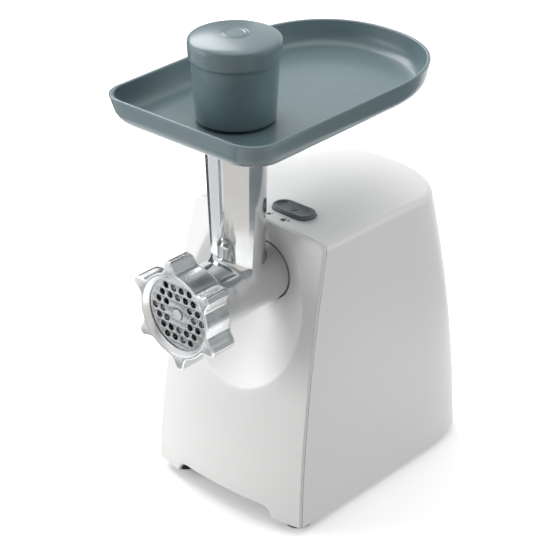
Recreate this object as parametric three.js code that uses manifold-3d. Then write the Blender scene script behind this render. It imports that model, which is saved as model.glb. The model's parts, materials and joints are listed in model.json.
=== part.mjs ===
// Electric meat grinder: a tapered plastic housing with a universal motor and a
// two-stage gearbox, a cast mincing head with a ring nut, a loading tray and a pusher.
// Millimetres, +Z up. The front (outlet) faces -Y, and the floor is z = 0.
import * as THREE from 'three';
import { mergeVertices } from 'three/addons/utils/BufferGeometryUtils.js';
import Module from 'manifold-3d';

const wasm = await Module();
wasm.setup();

// ---------------------------------------------------------------- driving dimensions
const FOOT_H = 6.5;            // rubber foot below the housing's lower edge
const ORIGIN_Y = 69.24;        // hopper axis to the middle of the object's depth
const GAP = 0.3;               // clearance between neighbouring pieces

const H = 230;                 // housing height at its side edges
const BASE_HW = 77.4;          // half width at the lower edge
const TOP_HW = 67.8;           // half width at the upper side edge
const FRONT_Y0 = -15.4;        // front corner at the lower edge
const FRONT_Y1 = 22.6;         // front corner at the upper edge
const REAR_Y0 = 206;           // rear at the lower edge
const REAR_Y1 = 180;           // rear at the upper edge
const WALL = 2.8;
const CROWN = 5.5;             // rise of the top between its side edges

const AXIS_Z = 185.3;          // barrel and feed screw axis
const HOLE_R = 25.2;           // outlet hole in the front cover
const HOLE_Y = 30.9;           // depth of that hole behind the hopper axis (positive is rearward)
const DISH_SLOPE = 1.47;       // radius gained by the dish for each mm towards the front
const DISH_SLOPE_UP = 3.2;    // the same straight above the hole

const NUT_Y0 = -70.6, NUT_Y1 = -45.2;
const NUT_R = 35, NUT_TIP_R = 44.5, NUT_LUG_HW = 4.0, NUT_PHASE = 96;
const PLATE_R = 31.0;          // 62 mm plate, the common no. 8 size
const PLATE_T = 5;
const SCREW_R = 20.8, BORE_R = 21.6;

const TRAY_Z = 341, TRAY_HW = 79, TRAY_Y0 = -64.5, TRAY_Y1 = 178;
const TRAY_FLOOR_Z = 319;
const STEM_R = 18.6;

// gear train: module, teeth
const M1 = 72 / 63, T_MOTOR = 9, T_IDLER_BIG = 54;
const M2 = 75 / 54, T_IDLER_SMALL = 9, T_OUT = 45;
const C1 = M1 * (T_MOTOR + T_IDLER_BIG) / 2;      // 36 mm
const C2 = M2 * (T_IDLER_SMALL + T_OUT) / 2;      // 37.5 mm
const IDLER_Z = AXIS_Z - C2;
const MOTOR_Z = IDLER_Z - C1;

// ---------------------------------------------------------------- helpers
const V3 = (x, y, z) => new THREE.Vector3(x, y, z);
const d2r = Math.PI / 180;
const clamp = (v, a, b) => Math.min(b, Math.max(a, v));

function toSolid(g0) {
  const g = g0.clone();
  g.deleteAttribute('normal'); g.deleteAttribute('uv');
  const m = mergeVertices(g, 1e-5);
  return new wasm.Manifold(new wasm.Mesh({
    numProp: 3,
    vertProperties: new Float32Array(m.attributes.position.array),
    triVerts: new Uint32Array(m.index.array),
  }));
}
function toGeometry(s) {
  const m = s.getMesh();
  const g = new THREE.BufferGeometry();
  g.setAttribute('position', new THREE.BufferAttribute(new Float32Array(m.vertProperties), 3));
  g.setIndex(new THREE.BufferAttribute(new Uint32Array(m.triVerts), 1));
  return g;
}
const union = (...a) => a.reduce((p, q) => p.add(q));
const cut = (a, ...b) => b.reduce((p, q) => p.subtract(q), a);

// a closed solid through rings of points, each ring running the same way round
function loft(rings) {
  const n = rings[0].length, pos = [], idx = [];
  rings.forEach(r => r.forEach(p => pos.push(p.x, p.y, p.z)));
  for (let i = 0; i < rings.length - 1; i++) for (let j = 0; j < n; j++) {
    const a = i * n + j, b = i * n + (j + 1) % n, c = a + n, d = b + n;
    idx.push(a, b, d, a, d, c);
  }
  const capAt = (ring, base, flip) => {
    const c = ring.reduce((s, p) => s.add(p), V3(0, 0, 0)).multiplyScalar(1 / n);
    const k = pos.length / 3; pos.push(c.x, c.y, c.z);
    for (let j = 0; j < n; j++) {
      const a = base + j, b = base + (j + 1) % n;
      if (flip) idx.push(k, b, a); else idx.push(k, a, b);
    }
  };
  capAt(rings[0], 0, true);
  capAt(rings[rings.length - 1], (rings.length - 1) * n, false);
  const g = new THREE.BufferGeometry();
  g.setAttribute('position', new THREE.Float32BufferAttribute(pos, 3));
  g.setIndex(idx);
  return g;
}
const box = (x0, x1, y0, y1, z0, z1) => {
  const g = new THREE.BoxGeometry(x1 - x0, y1 - y0, z1 - z0);
  g.translate((x0 + x1) / 2, (y0 + y1) / 2, (z0 + z1) / 2);
  return toSolid(g);
};
// solid of revolution; profile is [radius, height] pairs, closed by the axis or by itself
function lathe(profile, seg, closed = false) {
  const pts = profile.map(p => new THREE.Vector2(p[0], p[1]));
  if (closed) pts.push(pts[0].clone());
  let s = toSolid(new THREE.LatheGeometry(pts, seg));
  if (s.volume() < 0) {                     // profile was listed the other way round
    pts.reverse(); s = toSolid(new THREE.LatheGeometry(pts, seg));
  }
  return s;
}
// LatheGeometry turns about +Y: stand it up for +Z, or keep it for +Y
const latheZ = (profile, seg, x, y, closed) => lathe(profile, seg, closed).rotate([90, 0, 0]).translate([x, y, 0]);
const latheY = (profile, seg, x, z, closed) => lathe(profile, seg, closed).translate([x, 0, z]);
const rodY = (r, y0, y1, x, z, seg = 24) => latheY([[0, y0], [r, y0], [r, y1], [0, y1]], seg, x, z);
const rodZ = (r, z0, z1, x, y, seg = 24) => latheZ([[0, z0], [r, z0], [r, z1], [0, z1]], seg, x, y);
const rodX = (r, x0, x1, y, z, seg = 24) => lathe([[0, x0], [r, x0], [r, x1], [0, x1]], seg).rotate([0, 0, -90]).translate([0, y, z]);
const tubeY = (r0, r1, y0, y1, x, z, seg = 36) => latheY([[r0, y0], [r1, y0], [r1, y1], [r0, y1]], seg, x, z, true);
// outline in X and Z, extruded from y0 to y1
function slabY(points, y0, y1, holes = []) {
  const s = new THREE.Shape(points.map(p => new THREE.Vector2(p[0], p[1])));
  holes.forEach(h => s.holes.push(new THREE.Path(h.map(p => new THREE.Vector2(p[0], p[1])))));
  const g = new THREE.ExtrudeGeometry(s, { depth: y1 - y0, bevelEnabled: false, curveSegments: 8 });
  g.rotateX(Math.PI / 2); g.translate(0, y1, 0);
  return toSolid(g);
}
// outline in X and Y, extruded from z0 to z1
function slabZ(points, z0, z1, holes = []) {
  const s = new THREE.Shape(points.map(p => new THREE.Vector2(p[0], p[1])));
  holes.forEach(h => s.holes.push(new THREE.Path(h.map(p => new THREE.Vector2(p[0], p[1])))));
  const g = new THREE.ExtrudeGeometry(s, { depth: z1 - z0, bevelEnabled: false });
  g.translate(0, 0, z0);
  return toSolid(g);
}
const circle = (cx, cy, r, n, ph = 0) => Array.from({ length: n }, (_, i) => {
  const a = 2 * Math.PI * i / n + ph; return [cx + r * Math.cos(a), cy + r * Math.sin(a)];
});
const stadium = (cx, cy, lx, ly, n = 10) => {      // long along X
  const r = ly / 2, h = lx / 2 - r, out = [];
  for (let i = 0; i <= n; i++) { const a = -Math.PI / 2 + Math.PI * i / n; out.push([cx + h + r * Math.cos(a), cy + r * Math.sin(a)]); }
  for (let i = 0; i <= n; i++) { const a = Math.PI / 2 + Math.PI * i / n; out.push([cx - h + r * Math.cos(a), cy + r * Math.sin(a)]); }
  return out;
};
const bolts = (r, z, list) => list.map(([x, y]) => [x, y, z, r]);

// ---------------------------------------------------------------- housing surfaces
const halfWidth = z => BASE_HW - (BASE_HW - TOP_HW) * Math.pow(clamp(z / H, 0, 1.1), 1.25);
const cornerY = z => FRONT_Y0 + (FRONT_Y1 - FRONT_Y0) * Math.pow(clamp(z / H, 0, 1.1), 1.55);
const bow = z => 8.5 - 8.5 * Math.pow(clamp(z / H, 0, 1), 1.3);
const frontY = (x, z) => { const k = x / halfWidth(z); return cornerY(z) - bow(z) * (1 - k * k); };
const rearY = z => REAR_Y0 + (REAR_Y1 - REAR_Y0) * Math.pow(clamp(z / H, 0, 1.1), 2.5);
const rearStart = z => 112 + 17 * z / H;
const rearPow = z => 4.6 - 2.1 * clamp(z / H, 0, 1.1);
const crownAt = y => 2.4 + (CROWN - 2.4) * clamp((y - 20) / 60, 0, 1);
const topZ = (x, y) => H + crownAt(y) * (1 - (x / TOP_HW) ** 2) - 5 * Math.pow(Math.max(0, y - 60) / 120, 2);

// outline of the housing at one height, inset all round
function planRing(z, inset, zAt = z) {
  const w = halfWidth(z) - inset, ys = rearStart(z), ye = rearY(z) - inset, n = rearPow(z);
  const out = [], NR = 16, NF = 8;
  const yc = cornerY(z) + inset;
  out.push(V3(w, yc, zAt), V3(w, (yc + ys) / 2, zAt));
  for (let i = 0; i <= NR; i++) {
    const a = Math.PI * i / NR, c = Math.cos(a), s = Math.sin(a);
    out.push(V3(w * Math.sign(c) * Math.abs(c) ** (2 / n), ys + (ye - ys) * Math.abs(s) ** (2 / n), zAt));
  }
  out.push(V3(-w, (yc + ys) / 2, zAt), V3(-w, yc, zAt));
  for (let i = 1; i < NF; i++) {
    const x = -w + 2 * w * i / NF, k = x / w;
    out.push(V3(x, yc - bow(z) * (1 - k * k), zAt));
  }
  return out;
}
const LEVELS = [0, 60, 120, 175, 215, 240];
const plan = (inset, z0 = 0) => toSolid(loft([...(z0 < 0 ? [planRing(0, inset, z0)] : []), ...LEVELS.map(z => planRing(z, inset))]));
// everything under the crowned top
function underTop(drop, z0 = -30) {
  const NX = 6, NY = 6, g = new THREE.PlaneGeometry(180, 300, NX, NY);
  const p = g.attributes.position, n = p.count;
  const pos = [], idx = [];
  for (let i = 0; i < n; i++) { const x = p.getX(i), y = p.getY(i) + 100; pos.push(x, y, topZ(clamp(x, -90, 90), y) - drop); }
  for (let i = 0; i < n; i++) { const x = p.getX(i), y = p.getY(i) + 100; pos.push(x, y, z0); }
  const ix = g.index.array;
  for (let i = 0; i < ix.length; i += 3) { idx.push(ix[i], ix[i + 1], ix[i + 2]); idx.push(n + ix[i + 2], n + ix[i + 1], n + ix[i]); }
  const rim = [];
  for (let i = 0; i <= NX; i++) rim.push(i);
  for (let j = 1; j <= NY; j++) rim.push(j * (NX + 1) + NX);
  for (let i = NX - 1; i >= 0; i--) rim.push(NY * (NX + 1) + i);
  for (let j = NY - 1; j >= 1; j--) rim.push(j * (NX + 1));
  for (let k = 0; k < rim.length; k++) { const a = rim[k], b = rim[(k + 1) % rim.length]; idx.push(a, b, n + b, a, n + b, n + a); }
  const q = new THREE.BufferGeometry();
  q.setAttribute('position', new THREE.Float32BufferAttribute(pos, 3)); q.setIndex(idx);
  let s = toSolid(q);
  if (s.volume() < 0) { for (let i = 0; i < idx.length; i += 3) { const t = idx[i]; idx[i] = idx[i + 1]; idx[i + 1] = t; } q.setIndex(idx); s = toSolid(q); }
  return s;
}
// everything forward of the seam between the front cover and the main housing
function frontZone(off) {
  const rings = [-20, ...LEVELS.filter(z => z > 0), 250].map(z => {
    const zz = clamp(z, 0, 245), w = 110, out = [];
    for (let i = 0; i <= 12; i++) {
      const x = w - 2 * w * i / 12, lim = clamp(x, -halfWidth(zz), halfWidth(zz));
      out.push(V3(x, frontY(lim, zz) + WALL + 0.9 + off, z));
    }
    out.push(V3(-w, -80, z), V3(w, -80, z));
    return out;
  });
  return toSolid(loft(rings));
}
// the conical dish round the outlet, grown by t
function dish(t) {
  const rings = [], N = 36;
  for (const y of [HOLE_Y + t * 0.9, -40]) {
    const out = [];
    for (let i = 0; i < N; i++) {
      const a = 2 * Math.PI * i / N, up = Math.max(0, Math.sin(a));
      const s = DISH_SLOPE - (DISH_SLOPE - DISH_SLOPE_UP) * up * up;
      const r = HOLE_R + t + s * (HOLE_Y + t * 0.9 - y);
      out.push(V3(r * Math.cos(a), y, AXIS_Z + r * Math.sin(a)));
    }
    rings.push(out);
  }
  return toSolid(loft(rings));
}

// ---------------------------------------------------------------- gears
// spur gear outline with involute flanks, thinned by the backlash
function gearOutline(m, z, phase, add = 0.9, ded = 1.2, pa = 25, lash = 0.16) {
  const rp = m * z / 2, rb = rp * Math.cos(pa * d2r), ra = rp + add * m, rf = rp - ded * m;
  const inv = a => Math.tan(a) - a, half = Math.PI / (2 * z) - lash / (2 * rp);
  const out = [];
  const radii = z > 20 ? [rf, ra] : [rf, Math.max(rb, rf + 0.02), rp, ra];
  const ang = r => half + inv(pa * d2r) - inv(Math.acos(Math.min(1, rb / Math.max(r, rb))));
  for (let i = 0; i < z; i++) {
    const c = phase + 2 * Math.PI * i / z;
    for (const r of radii) out.push([c - ang(r), r]);
    for (const r of [...radii].reverse()) out.push([c + ang(r), r]);
  }
  return out.map(([a, r]) => [r * Math.cos(a), r * Math.sin(a)]);
}
function gear(m, z, y0, y1, cz, phase, boreR, boreN = 20) {
  const o = gearOutline(m, z, phase);
  const h = boreR ? [circle(0, 0, boreR, boreN)] : [];
  return slabY(o, y0, y1, h).translate([0, 0, cz]);
}

// ---------------------------------------------------------------- scene
const root = new THREE.Group();
const frame = new THREE.Group();
frame.position.set(0, -ORIGIN_Y, FOOT_H);
root.add(frame);
const C = {
  white: [0xe9e9e6, 0.45, 0], grey: [0x6f7f88, 0.5, 0], dark: [0x4a5258, 0.5, 0], cast: [0xc9cccd, 0.25, 1],
  steel: [0xb5b8ba, 0.3, 1], rubber: [0x1b1b1b, 0.85, 0], black: [0x26282a, 0.6, 0], nylon: [0xd8d2c2, 0.5, 0],
  copper: [0xb4642d, 0.4, 1], lam: [0x55585a, 0.5, 1], board: [0x1f5a3a, 0.6, 0], brass: [0xb79a4a, 0.35, 1],
};
let tris = 0;
function add(name, solid, mat) {
  const g = toGeometry(solid);
  tris += g.index.count / 3;
  const [color, roughness, metalness] = C[mat];
  const mesh = new THREE.Mesh(g, new THREE.MeshStandardMaterial({ color, roughness, metalness }));
  mesh.name = name;
  frame.add(mesh);
}

// ---- housing -------------------------------------------------------------------
const outer = plan(0).intersect(underTop(0));
const inner = plan(WALL, -5).intersect(underTop(WALL));
const shell = outer.subtract(inner);

const PILL_X = 14, PILL_Y = 48.4, PILL_L = 38.6, PILL_W = 18.6, PILL_TOP = 236.2;
const pillHole = slabZ(stadium(PILL_X, PILL_Y, PILL_L + 1.0, PILL_W + 1.0, 10), 215, 250);
const ROCK_Y = 92, ROCK_Z = 150, REV_Y = 122, REV_Z = 150;
const GLAND_Z = 26, GLAND_X = -34;
const POSTS = [[-52, 30], [52, 30], [-50, 144], [50, 144]];

// screw posts stand on ribs from the side walls
const postSolid = POSTS.map(([x, y]) => {
  const s = Math.sign(x);
  const rib = box(Math.min(x, s * 90), Math.max(x, s * 90), y - 1.2, y + 1.2, 14, 46);
  return cut(union(rodZ(4.6, 13.6, 46, x, y, 10), rib), rodZ(1.9, 12, 34, x, y, 6)).intersect(plan(1.2, -5));
});
const ventCuts = [];
for (let i = 0; i < 6; i++) ventCuts.push(box(-33 + i * 12, -27 + i * 12, 170, 230, 120, 156));
let main = shell.subtract(frontZone(0.15));
main = cut(main, pillHole,
  box(-90, -50, ROCK_Y - 7, ROCK_Y + 7, ROCK_Z - 11, ROCK_Z + 11),
  rodX(7.2, -90, -50, REV_Y, REV_Z, 20),
  rodY(8.3, 170, 230, GLAND_X, GLAND_Z, 20), ...ventCuts);
main = union(main, ...postSolid);
add('main_housing', main, 'white');

let cover = union(shell.intersect(frontZone(-0.15)), cut(dish(3).intersect(plan(1)).intersect(underTop(WALL + 0.4)), box(-100, 100, -60, -40, 0, 300)).intersect(frontZone(60)));
cover = cut(cover, dish(0), rodY(HOLE_R, 10, 60, 0, AXIS_Z, 36), rodZ(22.9, 200, 250, 0, 0, 40));
// shallow arch in the lower edge between the front feet
const arch = [];
arch.push([-50, -5], [50, -5]);
for (let i = 0; i <= 5; i++) { const a = Math.PI / 2 * i / 5; arch.push([50 - 8 + 8 * Math.cos(a), 1.3 + 8 * Math.sin(a)]); }
for (let i = 0; i <= 5; i++) { const a = Math.PI / 2 + Math.PI / 2 * i / 5; arch.push([-50 + 8 + 8 * Math.cos(a), 1.3 + 8 * Math.sin(a)]); }
cover = cut(cover, slabY(arch, -60, 0));
add('front_cover', cover, 'white');

// ---- base plate, feet, screws --------------------------------------------------
const FEET = { front_left: [-62, -1], front_right: [62, -1], rear_left: [-56, 168], rear_right: [56, 168] };
let plate = cut(plan(WALL + 0.5, -5), box(-200, 200, -200, 400, -60, 10), box(-200, 200, -200, 400, 13, 400));
for (const [x, y] of POSTS) plate = cut(plate, rodZ(2.2, 0, 20, x, y, 6));
for (const k in FEET) plate = cut(plate, rodZ(3.6, 0, 20, FEET[k][0], FEET[k][1], 8));
for (let i = 0; i < 5; i++) plate = cut(plate, box(-26, 26, 84 + i * 15, 90 + i * 15, 0, 20));
add('base_plate', plate, 'black');
for (const k in FEET) {
  const [x, y] = FEET[k];
  add('foot_' + k, latheZ([[0, -FOOT_H], [10.8, -FOOT_H], [11.4, 4.5], [10.8, 9.7], [3.1, 9.7], [3.1, 12], [0, 12]], 14, x, y), 'rubber');
}
POSTS.forEach(([x, y], i) => {
  add('base_screw_' + (i + 1), cut(latheZ([[0, 7.2], [2.6, 7.2], [3.6, 9.7], [1.4, 9.7], [1.4, 24], [0, 24]], 8, x, y),
    box(x - 2.2, x + 2.2, y - 0.4, y + 0.4, 6, 8.2)), 'steel');
});

// ---- gearbox -------------------------------------------------------------------
const GB_R = 36.5, GB_Z0 = 136;
const gbOutline = (r, n = 10) => {
  const o = [];
  for (let i = 0; i <= n; i++) { const a = Math.PI * i / n; o.push([r * Math.cos(a), AXIS_Z + r * Math.sin(a)]); }
  for (let i = 0; i <= n; i++) { const a = Math.PI + Math.PI * i / n; o.push([r * Math.cos(a), GB_Z0 + r * Math.sin(a)]); }
  return o;
};
let gb = cut(union(slabY(gbOutline(GB_R), 52, 88), rodY(16, 45.6, 53, 0, AXIS_Z, 32)),
  slabY(gbOutline(GB_R - 2.5), 55, 90), rodY(13.3, 40, 60, 0, AXIS_Z, 32), rodY(3.6, 40, 60, 0, IDLER_Z, 12));
add('gearbox_housing', gb, 'cast');
let gbc = cut(slabY(gbOutline(GB_R), 88.3, 92), rodY(9.5, 80, 100, 0, MOTOR_Z, 24), rodY(3.6, 80, 100, 0, IDLER_Z, 12), rodY(4.6, 80, 100, 0, AXIS_Z, 16));
add('gearbox_cover', gbc, 'cast');
add('output_bearing', tubeY(9.3, 13.0, 46, 57, 0, AXIS_Z, 32), 'brass');
add('idler_pin', rodY(3.3, 50, 93, 0, IDLER_Z, 12), 'steel');

// socket in which the mincing head locks: three entry slots lead into a groove
let socket = latheY([[25.0, 34.2], [33, 34.2], [33, 51.7], [17, 51.7], [17, 44.8], [29, 44.8], [29, 37.6], [25.0, 37.6]], 28, 0, AXIS_Z, true);
for (const deg of [60, 180, 300]) {
  const pts = [[0, 0]];
  for (let i = 0; i <= 4; i++) { const a = (deg - 21 + 42 * i / 4) * d2r; pts.push([29 * Math.cos(a) * 1.01, 29 * Math.sin(a) * 1.01]); }
  socket = cut(socket, slabY(pts, 30, 38.2).translate([0, 0, AXIS_Z]));
}
socket = cut(socket, box(-1.2, 5.8, 39.6, 44.6, 205, 230));
add('outlet_socket', socket, 'black');

// ---- drive: output shaft and gear, feed screw, knife -----------------------------
const mesh2 = -Math.PI / 2;                        // the idler lies straight below the output gear
// a tooth of the output gear points down; the pinion shows a gap there
add('output_gear', gear(M2, T_OUT, 60, 72, AXIS_Z, mesh2, 9.3, 24), 'nylon');
let shaft = union(rodY(9, 45.9, 73, 0, AXIS_Z, 24), rodY(4.2, 73, 91, 0, AXIS_Z, 16));
shaft = cut(shaft, box(-4.6, 4.6, 40, 56, AXIS_Z - 4.6, AXIS_Z + 4.6));
add('output_shaft', shaft, 'steel');

// feed screw: tapered core, one helical flight, square tang behind, stub in front
function flight(r0, r1, y0, y1, pitch, t) {
  const turns = (y1 - y0 - t) / pitch, n = Math.ceil(turns * 10), rings = [];
  for (let i = 0; i <= n; i++) {
    const a = -2 * Math.PI * turns * i / n, y = y0 + (y1 - y0 - t) * i / n, c = Math.cos(a), s = Math.sin(a);
    rings.push([V3(r0 * c, y, r0 * s), V3(r1 * c, y + 0.7, r1 * s), V3(r1 * c, y + t - 0.7, r1 * s), V3(r0 * c, y + t, r0 * s)]);
  }
  let s = toSolid(loft(rings));
  if (s.volume() < 0) s = toSolid(loft(rings.map(r => [...r].reverse())));
  return s;
}
const core = latheY([[0, -52.3], [9, -52.3], [9, -46], [7.5, -30], [11, 20], [13, 34], [13, 39], [6.2, 39], [6.2, 44.9], [0, 44.9]], 16, 0, 0);
let screw = union(core, flight(6, SCREW_R, -51.5, 38.5, 29, 5.2), box(-4.2, 4.2, 44, 54, -4.2, 4.2),
  box(-4.2, 4.2, -60.6, -51, -4.2, 4.2), rodY(4.4, -67, -60, 0, 0, 16));
add('feed_screw', screw.translate([0, 0, AXIS_Z]), 'cast');

// four-blade knife, flat face against the plate
const blades = [];
const KN = [];
for (let k = 0; k < 4; k++) {
  const a = k * Math.PI / 2, pt = (r, o) => [r * Math.cos(a) - o * Math.sin(a), r * Math.sin(a) + o * Math.cos(a)];
  KN.push(pt(10, -5), pt(26, -1.5), pt(28.4, 1.4), pt(25.5, 5.2), pt(14, 6.2));
}
let knife = cut(union(slabY(KN, -60.2, -56), rodY(9.5, -60.2, -53, 0, 0, 24)), box(-4.5, 4.5, -70, -40, -4.5, 4.5));
add('knife', knife.translate([0, 0, AXIS_Z]), 'steel');

// ---- idler gears ----------------------------------------------------------------
// output gear tooth points down (-90 deg), so the idler pinion needs a gap at +90 deg
const phS = Math.PI / 2 + Math.PI / T_IDLER_SMALL;
const phB = -Math.PI / 2;                           // big idler wheel: a tooth points down
let idler = union(gear(M2, T_IDLER_SMALL, 58.5, 74.5, IDLER_Z, phS, 3.7, 12));
idler = union(idler, gear(M1, T_IDLER_BIG, 74, 82, IDLER_Z, phB, 3.7, 12), tubeY(3.7, 8, 81, 86, 0, IDLER_Z, 24));
add('reduction_gear', idler, 'nylon');

// ---- motor ----------------------------------------------------------------------
add('motor_pinion', gear(M1, T_MOTOR, 72.8, 84, MOTOR_Z, Math.PI / 2 + Math.PI / T_MOTOR, 2.6, 12), 'steel');
const shaftR = union(rodY(2.3, 72, 88, 0, MOTOR_Z, 10), rodY(3.8, 86, 181, 0, MOTOR_Z, 12));
add('motor_shaft', shaftR, 'steel');
let arm = latheY([[4.1, 108], [16, 108], [20, 111], [20, 114], [23.6, 114], [23.6, 150], [20, 150], [20, 153], [16, 156], [4.1, 156]], 20, 0, MOTOR_Z, true);
add('armature', arm, 'copper');
add('commutator', tubeY(4.1, 11.5, 158, 171, 0, MOTOR_Z, 24), 'copper');
let fan = tubeY(4.1, 32, 104.4, 106, 0, MOTOR_Z, 20);
fan = union(fan, tubeY(4.1, 8, 97, 106, 0, MOTOR_Z, 20));
for (let k = 0; k < 6; k++) {
  const b = box(8 - 1, 31.5, 97.5, 105, -0.8, 0.8).rotate([0, k * 60, 0]).translate([0, 0, MOTOR_Z]);
  fan = union(fan, b);
}
add('cooling_fan', fan, 'black');
add('stator', cut(rodY(39.8, 112, 152, 0, MOTOR_Z, 32), rodY(24.3, 100, 160, 0, MOTOR_Z, 28)), 'lam');
add('field_coil_rear', latheY([[25.4, 152.3], [36, 152.3], [37, 155], [33, 160], [27, 160], [25.4, 157]], 24, 0, MOTOR_Z, true), 'copper');
let can = latheY([[40.2, 92.3], [43, 92.3], [43, 179], [11.6, 179], [11.6, 173.5], [40.2, 173.5]], 24, 0, MOTOR_Z, true);
for (const a of [45, 135, 225, 315]) can = cut(can, box(18, 34, 170, 182, -9, 9).rotate([0, a, 0]).translate([0, 0, MOTOR_Z]));
for (const a of [0, 90]) can = cut(can, box(30, 50, 95, 107, -12, 12).rotate([0, a + 45, 0]).translate([0, 0, MOTOR_Z]));
can = cut(can, box(-50, 50, 159.5, 170.5, MOTOR_Z - 5.6, MOTOR_Z + 5.6), slabY(gbOutline(GB_R + 0.3), 80, 92.3));
add('motor_can', can, 'lam');
add('front_bearing', tubeY(4.0, 9.2, 87.2, 93, 0, MOTOR_Z, 24), 'steel');
add('rear_bearing', tubeY(4.0, 11.3, 173.8, 180, 0, MOTOR_Z, 24), 'steel');
for (const [n, s] of [['left', -1], ['right', 1]]) {
  const g = box(13.5, 46, 160, 170, -5, 5);
  const brush = cut(g, box(12, 40, 162, 168, -3, 3));
  add('brush_holder_' + n, (s > 0 ? brush : brush.rotate([0, 180, 0])).translate([0, 0, MOTOR_Z]), 'brass');
  const br = box(12.2, 30, 162.4, 167.6, -2.6, 2.6);
  add('carbon_brush_' + n, (s > 0 ? br : br.rotate([0, 180, 0])).translate([0, 0, MOTOR_Z]), 'black');
}

// ---- electrics ------------------------------------------------------------------
let board = union(box(-28, 28, 62, 64, 24, 74), box(-20, -6, 63, 76, 30, 46), rodY(6, 63, 84, 8, 40, 16), box(-22, 18, 63, 70, 56, 66));
add('control_board', board.translate([0, 20, 0]), 'board');
add('board_bracket', cut(union(box(-30, 30, 78, 81.6, 13.6, 76), box(-30, 30, 60, 81, 13.6, 16)), box(-20, 20, 70, 90, 24, 68)), 'black');
const glandY = rearY(GLAND_Z) + 1;
add('cord_gland', latheY([[3.9, glandY - 16], [11.5, glandY - 16], [11.5, glandY - 13], [8.0, glandY - 13], [8.0, glandY + 1.2], [6.8, glandY + 2.2], [3.9, glandY + 2.2]], 14, GLAND_X, GLAND_Z, true), 'rubber');

// side controls: an on/off rocker and a reverse button
const sideX = -halfWidth(ROCK_Z);
let swBody = cut(box(sideX + 4.2, sideX + 24, ROCK_Y - 9, ROCK_Y + 9, ROCK_Z - 13, ROCK_Z + 13), box(sideX - 1, sideX + 14, ROCK_Y - 6.6, ROCK_Y + 6.6, ROCK_Z - 10.6, ROCK_Z + 10.6));
add('switch_body', swBody, 'black');
// rocker turns about a pin along Y through its own middle
const rockPts = [[-7.4, -9.2], [-4.6, 0], [-7.4, 9.2], [1.6, 8.0], [4.6, 2.5], [4.6, -2.5], [1.6, -8.0]];
let rocker = slabY(rockPts.map(([a, b]) => [a * 1, b * 1]).reverse(), ROCK_Y - 6.1, ROCK_Y + 6.1);
rocker = rocker.rotate([0, 8, 0]).translate([sideX + 5.4, 0, ROCK_Z]);
add('power_rocker', rocker, 'dark');
let rev = union(rodX(6.7, sideX - 1.8, sideX + 6, REV_Y, REV_Z, 24), rodX(3, sideX + 5, sideX + 10, REV_Y, REV_Z, 12));
add('reverse_button', rev, 'dark');
let revBody = cut(box(sideX + 4.2, sideX + 22, REV_Y - 9, REV_Y + 9, REV_Z - 9, REV_Z + 9), rodX(7.2, sideX - 2, sideX + 16, REV_Y, REV_Z, 20));
add('reverse_switch_body', revBody, 'black');

// ---- head release: button, spring, lever, latch ---------------------------------
let pill = cut(slabZ(stadium(PILL_X, PILL_Y, PILL_L, PILL_W, 9), 229, PILL_TOP), slabZ(stadium(PILL_X, PILL_Y, PILL_L - 5, PILL_W - 5, 8), 220, PILL_TOP - 2.4));
pill = cut(union(pill, box(PILL_X + 9.5, PILL_X + 14.5, 42.5, 46.5, 222.8, PILL_TOP - 1.7)), slabZ(stadium(PILL_X, PILL_Y, PILL_L - 5, PILL_W - 5, 8), PILL_TOP - 1.2, PILL_TOP + 3));
add('release_button', pill, 'dark');
let guide = union(cut(slabZ(stadium(PILL_X, PILL_Y, PILL_L + 7, PILL_W + 7, 8), 223.5, 229.2), slabZ(stadium(PILL_X, PILL_Y, PILL_L + 1, PILL_W + 1, 8), 220, 240)),
  box(PILL_X - 4.5, PILL_X + 4.5, 48.4, 60, 224.1, 225.5));
add('button_guide', guide, 'black');
// lever under the button: the right end goes down with it and the left end lifts the latch
const LEV_X = PILL_X, LEV_Z = 221.3;
let bracket = cut(box(LEV_X - 4, LEV_X + 4, 48.4, 51.3, 217.2, 223.6), rodY(1.6, 46, 54, LEV_X, LEV_Z, 10));
add('lever_bracket', bracket, 'black');
add('lever_pin', rodY(1.3, 39.5, 51.2, LEV_X, LEV_Z, 10), 'steel');
let lever = union(box(5, LEV_X + 15.5, 40.2, 47.9, 220.2, 222.4), box(0.8, 5.5, 42.6, 47.9, 220.2, 222.4), tubeY(1.6, 2.6, 40.2, 47.9, LEV_X, LEV_Z, 12), rodZ(1.9, 214.2, 221, 3, 42.1, 10));
lever = cut(lever, rodY(1.6, 36, 60, LEV_X, LEV_Z, 10));
add('release_lever', lever, 'steel');

// compression spring between the lever deck and the button
class Helix extends THREE.Curve {
  constructor(r, z0, z1, turns) { super(); Object.assign(this, { r, z0, z1, turns }); }
  getPoint(t, o = new THREE.Vector3()) {
    const a = 2 * Math.PI * this.turns * t;
    return o.set(this.r * Math.cos(a), this.r * Math.sin(a), this.z0 + (this.z1 - this.z0) * t);
  }
}
const SPR_Z0 = 226.3, SPR_Z1 = 233.2;
const wire = new THREE.Shape(circle(0, 0, 0.35, 5).map(p => new THREE.Vector2(p[0], p[1])));
const spring = toSolid(new THREE.ExtrudeGeometry(wire, { steps: 32, bevelEnabled: false, extrudePath: new Helix(2.1, SPR_Z0, SPR_Z1, 4) }));
add('button_spring', spring.translate([PILL_X, 51.2, 0]), 'steel');

// ---- mincing head ---------------------------------------------------------------
const SEG = 32;
let barrel = latheY([[0, -62.6], [33, -62.6], [33, -48.5], [32, -46.5], [28.5, -43], [26.6, -38], [25.3, 0], [24.3, 31], [24.3, 38.2], [27.9, 38.2], [27.9, 43.6], [0, 43.6]], SEG, 0, AXIS_Z);
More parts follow.
